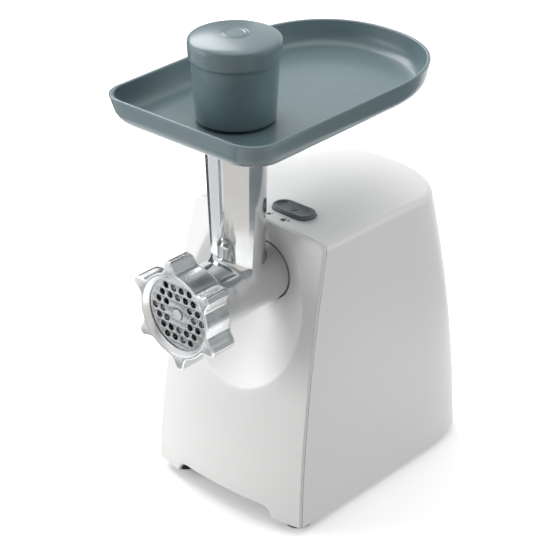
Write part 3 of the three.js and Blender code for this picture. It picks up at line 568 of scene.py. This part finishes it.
# ------------------------------------------------------------------ hole plate
holes = []
for i in range(-5, 6):
    for j in range(-5, 6):
        x, y = 8 * (i + (abs(j) % 2) * 0.5), 8 * 0.866 * j
        if 8.4 < math.hypot(x, y) < 26.4:
            holes.append((x, y))
cu = bpy.data.curves.new("plate_curve", "CURVE")
cu.dimensions = "2D"
cu.fill_mode = "BOTH"
cu.extrude = 0.00235
cu.bevel_depth = 0.0003
cu.bevel_resolution = 2
cu.resolution_u = 1


def loop(cx, cy, r, n):
    s = cu.splines.new("POLY")
    s.points.add(n - 1)
    for k in range(n):
        a = 2 * math.pi * k / n
        s.points[k].co = ((cx + r * math.cos(a)) / 1000, (cy + r * math.sin(a)) / 1000, 0, 1)
    s.use_cyclic_u = True


loop(0, 0, PLATE_R - 0.3, 128)
loop(0, 0, 5.1, 40)
for x, y in holes:
    loop(x, y, 3.15, 28)
tmp = bpy.data.objects.new("plate_tmp", cu)
bpy.context.collection.objects.link(tmp)
dg = bpy.context.evaluated_depsgraph_get()
dg.update()
pm = bpy.data.meshes.new_from_object(tmp.evaluated_get(dg))
bpy.data.objects.remove(tmp)
bpy.data.curves.remove(cu)
pm.transform(Matrix.Translation(Vector((0, (-63.15 + OY) / 1000, (AXIS + OZ) / 1000))) @ Matrix.Rotation(math.radians(90), 4, "X"))
disc = bpy.data.objects.new("perforated_plate", pm)
bpy.context.collection.objects.link(disc)
bm = bmesh.new(); bm.from_mesh(pm); bmesh.ops.remove_doubles(bm, verts=bm.verts, dist=1e-7); bmesh.ops.recalc_face_normals(bm, faces=bm.faces); bm.to_mesh(pm); bm.free()
piece(disc, "head", "blade_steel", ["hole_plate"], 30)

# ------------------------------------------------------------------ ring nut
def nut_radius(deg, yrel):
    """outline radius at one angle; the lugs are flared at their roots"""
    d = (deg - 96 + 30) % 60 - 30
    R, tip, hwid = 35.0, 44.4, 4.1
    t = math.radians(abs(d))
    # half-width of the lug as a function of radius, solved for the radius at this angle
    best = R
    for r in np.linspace(R, tip, 60):
        u = (r - R) / (tip - R)
        half = hwid + 4.2 * (1 - u) ** 3.2
        if u > 0.8:
            half = hwid * math.sqrt(max(0.0, 1 - ((u - 0.8) / 0.2) ** 2 * 0.62))
        if r * math.sin(t) <= half:
            best = r
    return best


NN = 360
base_r = np.array([nut_radius(360 * k / NN, 0) for k in range(NN)])
ker = np.array([1, 2, 3, 2, 1.0]); ker /= ker.sum()
pad = np.concatenate([base_r[-2:], base_r, base_r[:2]])
base_r = np.convolve(pad, ker, "valid")
ang = np.linspace(0, 2 * math.pi, NN, endpoint=False)
pts2 = np.stack([base_r * np.cos(ang), base_r * np.sin(ang)], 1)
tan = np.roll(pts2, -1, 0) - np.roll(pts2, 1, 0)
tan /= np.linalg.norm(tan, axis=1)[:, None]
nor = np.stack([tan[:, 1], -tan[:, 0]], 1)


def nut_row(inset, y, pull=0.0):
    q = pts2 - nor * inset
    r = np.hypot(q[:, 0], q[:, 1])
    if pull:
        r2 = np.minimum(r, 34.6) + np.maximum(r - 34.6, 0) * (1 - pull)
        q = q * (r2 / r)[:, None]
    return [(a, y, AXIS + b) for a, b in q]


def nut_circle(r, y):
    return [(r * math.cos(t), y, AXIS + r * math.sin(t)) for t in ang]


Y0, Y1 = -70.6, -45.2
rows = [nut_circle(29.3, -66.2), nut_circle(29.3, -66.9), nut_circle(29.6, -67.4), nut_circle(31.9, -70.0), nut_circle(32.3, -70.4), nut_circle(32.8, -70.6)]
rows += [nut_row(0.9, Y0), nut_row(0.45, Y0 + 0.12), nut_row(0.12, Y0 + 0.45), nut_row(0.0, Y0 + 0.95)]
rows += [nut_row(0.0, y) for y in np.linspace(Y0 + 2, Y1 - 6.4, 8)]
for a in (15, 30, 45, 60, 75, 88):
    t = math.radians(a)
    rows.append(nut_row(0.0, Y1 - 5.2 + 4.6 * math.sin(t), (1 - math.cos(t)) * 0.62))
rows.append(nut_row(0.5, Y1 - 0.15, 0.66))
rows.append(nut_row(1.0, Y1, 0.70))
rows += [nut_circle(33.6, Y1), nut_circle(33.4, Y1 - 0.3), nut_circle(33.4, -66.2)]
nut = grid("grip_ring_nut", rows, True, True)
piece(nut, "nut", "polished_aluminium", ["ring_nut"], 36, mat="ring_casting")

# ------------------------------------------------------------------ tray
def corner_out(z):
    return float(np.interp(z - TRAY_F, (0, 2.2, 9, 20.8, 22), (24, 24, 22.5, 21, 21)))


def corner_in(z):
    return float(np.interp(z - TRAY_F, (3, 5.2, 12, 22), (15, 16, 17, 18)))


def tray_ring(inset, z, rc=None, n=2.25, NC=12, ND=84, NL=16):
    w, y0, y1, ys = TRAY_HW - inset, TRAY_Y0 + inset, TRAY_Y1 - inset, 92.0
    if rc is None:
        rc = corner_out(z)
    o = [(x, y0, z) for x in np.linspace(0, w - rc, NL, endpoint=False)]
    o += [(w - rc + rc * math.cos(a), y0 + rc + rc * math.sin(a), z) for a in np.linspace(-math.pi / 2, 0, NC)]
    o += [(w, y, z) for y in np.linspace(y0 + rc, ys, NL)[1:-1]]
    for i in range(ND + 1):
        a = math.pi * i / ND
        c, s = math.cos(a), math.sin(a)
        o.append((w * math.copysign(abs(c) ** (2 / n), c), ys + (y1 - ys) * abs(s) ** (2 / n), z))
    o += [(-w, y, z) for y in np.linspace(ys, y0 + rc, NL)[1:-1]]
    o += [(-w + rc + rc * math.cos(a), y0 + rc + rc * math.sin(a), z) for a in np.linspace(math.pi, 1.5 * math.pi, NC)]
    o += [(x, y0, z) for x in np.linspace(-(w - rc), 0, NL, endpoint=False)[1:]]
    return o


def to_circle(ring, r, z, f):
    """f = 0 the ring, f = 1 the circle of radius r"""
    o = []
    for x, y, zz in ring:
        d = math.hypot(x, y)
        cx_, cy_ = x / d * r, y / d * r
        o.append((x + (cx_ - x) * f, y + (cy_ - y) * f, zz + (z - zz) * f))
    return o


T = TRAY_F
under = tray_ring(13.0, T)
inner_floor = tray_ring(16.5, T + 3.0, 14.5)
rows = [to_circle(under, 19.5, 300.2, 1), to_circle(under, 20.2, 299.9, 1), to_circle(under, 21.6, 300.0, 1), to_circle(under, 21.9, 300.8, 1), to_circle(under, 21.9, T - 0.3, 1), to_circle(under, 22.6, T - 0.02, 1)]
rows += [to_circle(under, 22.6, T, 1 - f) for f in (0.12, 0.3, 0.5, 0.7, 0.85, 0.94)]
rows += [tray_ring(i, T + dz) for i, dz in ((13.0, 0.0), (11.2, 0.18), (9.6, 0.6), (8.2, 1.25), (6.9, 2.1), (5.6, 3.2), (4.5, 4.5), (3.6, 6.0), (2.9, 7.6), (2.35, 9.4), (1.9, 11.5), (1.3, 14.5), (0.7, 18.0), (0.35, 20.0))]
rows += [tray_ring(i, TRAY_Z + dz) for i, dz in ((0.12, -1.2), (0.0, -0.8), (0.12, -0.35), (0.45, -0.08), (0.9, 0.0), (1.9, 0.0), (2.4, -0.1), (2.75, -0.4), (2.9, -0.9))] + [tray_ring(3.0, TRAY_Z - 1.8, 18.3)]
rows += [tray_ring(i, T + dz, corner_in(T + dz)) for i, dz in ((3.6, 17.0), (4.2, 13.5), (4.9, 11.0), (5.8, 8.8), (6.9, 7.0), (8.3, 5.5), (10.0, 4.4), (12.0, 3.6), (14.2, 3.15))] + [inner_floor]
rows += [to_circle(inner_floor, 24.0, T + 3.0, f) for f in (0.08, 0.2, 0.4, 0.6, 0.8, 0.95, 1.0)]
rows += [to_circle(inner_floor, r, T + dz, 1) for r, dz in ((23.4, 3.1), (22.9, 3.5), (22.5, 4.3), (22.0, 4.95), (21.2, 5.2), (20.2, 5.2), (19.6, 4.9), (19.5, 4.2))]
tray = grid("loading_tray", rows, True, True)
piece(tray, "tray", "grey_plastic", ["tray"], 40)

# ------------------------------------------------------------------ pusher and cap
PB = T + 5.6
prof = [(0.02, 212.0), (14.6, 212.0), (15.6, 212.3), (18.2, 215.0), (18.6, 216.0), (18.6, PB - 0.3), (18.9, PB - 0.02), (28.9, PB), (29.5, PB + 0.2), (29.9, PB + 0.9)]
prof += [(29.9 + (32.6 - 29.9) * f, PB + 1 + (369.6 - PB - 1) * f) for f in np.linspace(0, 1, 24)[1:]]
prof += [(32.75, 370.4), (32.4, 370.9), (30.6, 370.9), (30.3, 370.5), (27.6, PB + 6), (26.4, PB + 3.6), (24.5, PB + 3.0), (0.02, PB + 3.0)]
pusher = lathe_z("pusher_body", prof, 0, 0, 128, True, merge=3e-5)
piece(pusher, "pusher", "grey_plastic", ["pusher"], 40)
prof = [(0.02, 371.3), (25.9, 371.3), (26.0, 371.2), (26.0, 362.3), (26.3, 362.0), (28.2, 362.0), (28.6, 362.4), (29.3, 371.2), (33.0, 371.25), (33.9, 371.3), (34.2, 371.7)]
prof += [(34.2 + 0.55 * f, 371.9 + (382.6 - 371.9) * f) for f in np.linspace(0, 1, 8)[1:]]
prof += [(34.75, 383.2), (34.62, 383.75), (34.62, 384.1), (34.5, 384.9), (34.0, 385.8), (33.1, 386.55), (31.8, 387.1), (29.5, 387.65), (26, 388.2), (22, 388.7), (18, 389.1), (14.6, 389.4), (12.4, 389.53)]
# plain double ring raised in the middle of the cap
prof += [(11.2, 389.6), (10.9, 389.9), (10.4, 390.0), (9.9, 389.9), (9.6, 389.65), (8.9, 389.66), (8.6, 389.9), (8.2, 390.0), (7.8, 389.9), (7.5, 389.7), (6, 389.75), (3, 389.8), (0.02, 389.82)]
cap = lathe_z("pusher_cap_dome", prof, 0, 0, 160, True, merge=3e-5)
piece(cap, "cap", "grey_plastic", ["pusher_cap"], 40)

# ------------------------------------------------------------------ release key on the top
px, py = PILL
LX, LY = 38.6, 18.6


def pill_ring(inset, z):
    o = stadium(px, py, LX - 2 * inset, LY - 2 * inset, 28)
    return [(x, y, z + 0.0) for x, y in o]


zt = 236.2
rows = [pill_ring(2.7, zt - 2.6), pill_ring(2.5, 229.1), pill_ring(0.3, 229.0), pill_ring(0.0, 229.3), pill_ring(0.0, zt - 1.4), pill_ring(0.12, zt - 0.8), pill_ring(0.45, zt - 0.32), pill_ring(1.0, zt - 0.05), pill_ring(1.5, zt), pill_ring(2.1, zt - 0.08),
        pill_ring(2.7, zt - 0.42), pill_ring(3.2, zt - 0.9), pill_ring(3.8, zt - 1.25), pill_ring(4.8, zt - 1.5), pill_ring(6.5, zt - 1.65), pill_ring(8.6, zt - 1.72), pill_ring(9.6, zt - 1.74)]
key = grid("release_key", rows, True, False, True, True)
# small raised mark: a bar and a tick, no lettering
hook = [(1.5, 3.1), (2.5, 3.1), (2.5, -0.9), (1.9, -2.2), (0.6, -2.9), (-0.8, -2.9), (-2.0, -2.3), (-2.7, -1.2), (-1.8, -0.8), (-1.3, -1.5), (-0.5, -1.9), (0.4, -1.9), (1.1, -1.5), (1.5, -0.7)]
mark = [prism_z("m1", [(px - 0.6 + 0.85 * a, py + 0.85 * b) for a, b in hook], zt - 2.0, zt - 1.28), prism_z("m2", rrect(px - 2.0, py + 1.9, 1.5, 1.0, 0.3), zt - 2.0, zt - 1.28)]
key = join("release_key", key, prism_z("leg", rrect(px + 12, 44.5, 5, 4, 0.5), 222.8, zt - 2.2), *mark)
piece(key, "button", "control_grey", ["release_button"], 30)
# printed signs in front of the key: an open and a closed padlock, plain shapes
def sign(cx_, cy_, s, closed, name):
    o = []
    body = rrect(cx_, cy_ - 0.9 * s, 2.9 * s, 2.1 * s, 0.35 * s, 3)
    ring_o = arc(cx_ + (0 if closed else 1.6 * s), cy_ + 0.2 * s, 1.15 * s, 0, 180, 12)
    ring_i = arc(cx_ + (0 if closed else 1.6 * s), cy_ + 0.2 * s, 0.72 * s, 180, 0, 12)
    parts = []
    for k, pl in enumerate((body, ring_o + ring_i)):
        n = len(pl)
        zs = [float(top_z(x, y)) for x, y in pl]
        v = [(x, y, z - 0.2) for (x, y), z in zip(pl, zs)] + [(x, y, z + 0.05) for (x, y), z in zip(pl, zs)]
        f = [tuple(range(n))[::-1], tuple(range(n, 2 * n))] + [(i, (i + 1) % n, n + (i + 1) % n, n + i) for i in range(n)]
        parts.append(new_object(name, v, f))
    return parts


def arrow_sign(cx_, cy_, s):
    pl = [(cx_ - 1.2 * s, cy_ - 1.0 * s), (cx_ + 1.3 * s, cy_ + 0.1 * s), (cx_ - 1.2 * s, cy_ + 1.2 * s)]
    zs = [float(top_z(x, y)) for x, y in pl]
    v = [(x, y, z - 0.2) for (x, y), z in zip(pl, zs)] + [(x, y, z + 0.05) for (x, y), z in zip(pl, zs)]
    return [new_object("s3", v, [(2, 1, 0), (3, 4, 5), (0, 1, 4, 3), (1, 2, 5, 4), (2, 0, 3, 5)])]


signs = join("printed_signs", *sign(2.2, 33.8, 1.2, False, "s1"), *sign(17.2, 33.4, 1.45, True, "s2"), *arrow_sign(21.6, 33.6, 1.2))
piece(signs, "base", "control_grey", (), 30, mat="print_ink")

# ------------------------------------------------------------------ feet, side controls, gland
FEET = {"foot_front_left": (-62, -1), "foot_front_right": (62, -1), "foot_rear_left": (-56, 168), "foot_rear_right": (56, 168)}
for n, (x, y) in FEET.items():
    pr = [(0.02, -6.1), (6.0, -6.1), (6.6, -6.45), (9.6, -6.5), (10.3, -6.3), (10.75, -5.7), (10.9, -5.0), (11.3, 3.6), (11.35, 4.4), (11.2, 5.0), (10.9, 9.3), (10.5, 9.7), (3.2, 9.7), (3.1, 9.9), (3.1, 11.7), (0.02, 12.0)]
    f = lathe_z(n + "_rubber", pr, x, y, 72, True, merge=3e-5)
    piece(f, "base", "foot_rubber", [n], 40)
sx = -W150
# rocker: concave paddle, lower end pressed in
rows = []
cx_, cz_ = sx + 5.4, 150.0
t8 = math.radians(8)
prof2 = [(-7.2, -9.0), (-7.35, -8.4), (-6.6, -6.0), (-5.7, -3.0), (-5.2, 0.0), (-5.7, 3.0), (-6.6, 6.0), (-7.35, 8.4), (-7.2, 9.0), (-6.6, 9.2), (1.6, 8.0), (4.4, 2.6), (4.6, 2.0), (4.6, -2.0), (4.4, -2.6), (1.6, -8.0), (-6.6, -9.2)]
rot = [(cx_ + a * math.cos(t8) + b * math.sin(t8), cz_ - a * math.sin(t8) + b * math.cos(t8)) for a, b in prof2]
mid = (sum(a for a, b in rot) / len(rot), sum(b for a, b in rot) / len(rot))
for dy, k in ((-6.1, 0.955), (-5.95, 0.98), (-5.6, 1.0), (5.6, 1.0), (5.95, 0.98), (6.1, 0.955)):
    rows.append([(mid[0] + (a - mid[0]) * k, 92 + dy, mid[1] + (b - mid[1]) * k) for a, b in rot])
rock = grid("power_rocker_paddle", rows, True, False, True, True)
piece(rock, "rocker", "control_grey", ["power_rocker"], 30)
prof = [(0.02, sx - 1.2), (3.6, sx - 1.35), (5.4, sx - 1.75), (6.1, sx - 1.78), (6.5, sx - 1.6), (6.7, sx - 1.2), (6.7, sx + 6.0), (3.0, sx + 6.1), (3.0, sx + 9.8), (0.02, sx + 9.8)]
rows = [[(x, 122 + r * math.cos(a), 150 + r * math.sin(a)) for a in np.linspace(0, 2 * math.pi, 64, endpoint=False)] for r, x in prof]
rev = grid("reverse_key", rows, True, False, True, True, merge=3e-5)
piece(rev, "reverse", "control_grey", ["reverse_button"], 36)
gy = float(rear_y(26)) + 1
prof = [(3.95, gy - 16), (11.2, gy - 16), (11.5, gy - 15.7), (11.5, gy - 13.3), (11.2, gy - 13), (8.0, gy - 13), (8.0, gy + 0.8), (7.7, gy + 1.5), (6.9, gy + 2.1), (6.2, gy + 2.2), (4.5, gy + 2.2), (4.1, gy + 1.9), (3.95, gy + 1.4)]
gland = lathe_y("cord_gland_ring", prof, -34, 26, 64, True)
piece(gland, "base", "foot_rubber", ["cord_gland"], 36)

# a fine bevel on the CAD pieces that can be seen through the outlet or from below
for n in ("knife", "feed_screw", "base_plate", "outlet_socket", "output_shaft"):
    ob = frame["nodes"][n]
    b = ob.modifiers.new("edge", "BEVEL")
    b.width = 0.00025
    b.segments = 2
    b.limit_method = "ANGLE"
    b.angle_limit = math.radians(35)
    b.use_clamp_overlap = True

# ------------------------------------------------------------------ stage, light and camera
floor_me = bpy.data.meshes.new("floor")
floor_me.from_pydata([(-6, -6, 0), (6, -6, 0), (6, 6, 0), (-6, 6, 0)], [], [(0, 1, 2, 3)])
floor = bpy.data.objects.new("floor", floor_me)
bpy.context.collection.objects.link(floor)
fm = bpy.data.materials.new("floor_white")
fm.use_nodes = True
fb = fm.node_tree.nodes["Principled BSDF"]
fb.inputs["Base Color"].default_value = (0.90, 0.90, 0.90, 1)
fb.inputs["Emission Color"].default_value = (1, 1, 1, 1)
fb.inputs["Emission Strength"].default_value = 0.22
fb.inputs["Roughness"].default_value = 0.55
fb.inputs["Specular IOR Level"].default_value = 0.25
floor_me.materials.append(fm)
floor.visible_diffuse = False

sc = bpy.context.scene
sc.view_settings.view_transform = "Standard"
sc.view_settings.look = "None"
sc.view_settings.exposure = 0.0

world = bpy.data.worlds.new("studio")
sc.world = world
world.use_nodes = True
nt = world.node_tree
nt.nodes.clear()
out = nt.nodes.new("ShaderNodeOutputWorld")
bg = nt.nodes.new("ShaderNodeBackground")
nt.links.new(bg.outputs[0], out.inputs[0])
tc = nt.nodes.new("ShaderNodeTexCoord")
# a studio that is bright on the left and behind, and dim on the right in front
dot = nt.nodes.new("ShaderNodeVectorMath"); dot.operation = "DOT_PRODUCT"
dot.inputs[1].default_value = (math.sin(math.radians(68)), -math.cos(math.radians(68)), -0.12)
nt.links.new(tc.outputs["Generated"], dot.inputs[0])
mr = nt.nodes.new("ShaderNodeMapRange"); mr.interpolation_type = "SMOOTHSTEP"
mr.inputs["From Min"].default_value, mr.inputs["From Max"].default_value = -0.25, 0.95
mr.inputs["To Min"].default_value, mr.inputs["To Max"].default_value = 0.86, 0.24
nt.links.new(dot.outputs["Value"], mr.inputs["Value"])
nt.links.new(mr.outputs["Result"], bg.inputs["Strength"])
bg.inputs["Color"].default_value = (1.0, 1.0, 1.0, 1)


def area(name, loc, target, size, power, color=(1, 1, 1), size_y=None):
    la = bpy.data.lights.new(name, "AREA")
    la.energy = power
    la.size = size
    if size_y:
        la.shape = "RECTANGLE"
        la.size_y = size_y
    la.color = color
    ob = bpy.data.objects.new(name, la)
    bpy.context.collection.objects.link(ob)
    ob.location = loc
    ob.rotation_euler = (Vector(target) - Vector(loc)).to_track_quat("-Z", "Y").to_euler()
    return ob


area("key_left", (-0.70, -0.78, 0.36), (-0.08, -0.07, 0.11), 0.5, 5.8)
area("rim_left", (-0.95, 0.25, 0.92), (0, 0.02, 0.22), 0.9, 11.5)
area("back_right", (0.95, 0.50, 0.50), (0.07, 0.12, 0.13), 0.6, 4.2)
area("overhead", (0.0, 0.1, 1.9), (0, 0.05, 0), 1.6, 8.0)


def card(name, az0, az1, radius, z0, z1, level, n=24, centre=(0.0, -0.069), flat=None):
    """a curved studio card that is only seen in reflections"""
    v, f = [], []
    for i in range(n + 1):
        a = math.radians(az0 + (az1 - az0) * i / n)
        d = (math.sin(a), -math.cos(a))
        if flat:
            v += [(centre[0] + flat[0] * d[0], centre[1] + flat[0] * d[1], z0), (centre[0] + flat[1] * d[0], centre[1] + flat[1] * d[1], z0)]
        else:
            v += [(centre[0] + radius * d[0], centre[1] + radius * d[1], z0), (centre[0] + radius * d[0], centre[1] + radius * d[1], z1)]
        if i:
            k = 2 * i
            f.append((k - 2, k, k + 1, k - 1))
    me_ = bpy.data.meshes.new(name)
    me_.from_pydata(v, [], f)
    ob = bpy.data.objects.new(name, me_)
    bpy.context.collection.objects.link(ob)
    mt = bpy.data.materials.new(name)
    mt.use_nodes = True
    mt.node_tree.nodes.clear()
    e_ = mt.node_tree.nodes.new("ShaderNodeEmission")
    e_.inputs["Color"].default_value = (*level, 1)
    o_ = mt.node_tree.nodes.new("ShaderNodeOutputMaterial")
    mt.node_tree.links.new(e_.outputs[0], o_.inputs[0])
    me_.materials.append(mt)
    ob.visible_camera = False
    ob.visible_diffuse = False
    ob.visible_shadow = False
    ob.visible_transmission = False
    ob.visible_volume_scatter = False
    return ob


card("card_right", 88, 172, 0.42, 0.0, 0.55, (0.19, 0.215, 0.225))
card("card_front", -12, 87, 0.42, 0.0, 0.40, (0.72, 0.70, 0.67))
card("card_left_soft", -14, -30, 0.42, 0.0, 0.45, (0.36, 0.37, 0.39))
card("card_left_light", -31, -82, 0.42, 0.0, 0.45, (0.78, 0.79, 0.81))
card("card_left", -84, -140, 0.42, 0.0, 0.55, (0.09, 0.095, 0.10))
card("card_front_low", -24, -66, 0, 0.002, 0, (0.34, 0.35, 0.35), flat=(0.16, 0.36), centre=(0.0, -0.13))

cam = bpy.data.cameras.new("camera")
camo = bpy.data.objects.new("camera", cam)
bpy.context.collection.objects.link(camo)
a, e, r = math.radians(42.45), math.radians(28.327), math.radians(-0.366)
right = Vector((math.cos(a), math.sin(a), 0))
back = Vector((math.sin(a) * math.cos(e), -math.cos(a) * math.cos(e), math.sin(e)))
upv = back.cross(right)
R2 = math.cos(r) * right + math.sin(r) * upv
U2 = -math.sin(r) * right + math.cos(r) * upv
m = Matrix((R2, U2, back)).transposed().to_4x4()
m.translation = Vector(to_m((924.845, -975.155, 916.314)))
camo.matrix_world = m
cam.lens = 1998.2 * 36 / 550
cam.sensor_width = 36
cam.clip_end = 50
sc.camera = camo
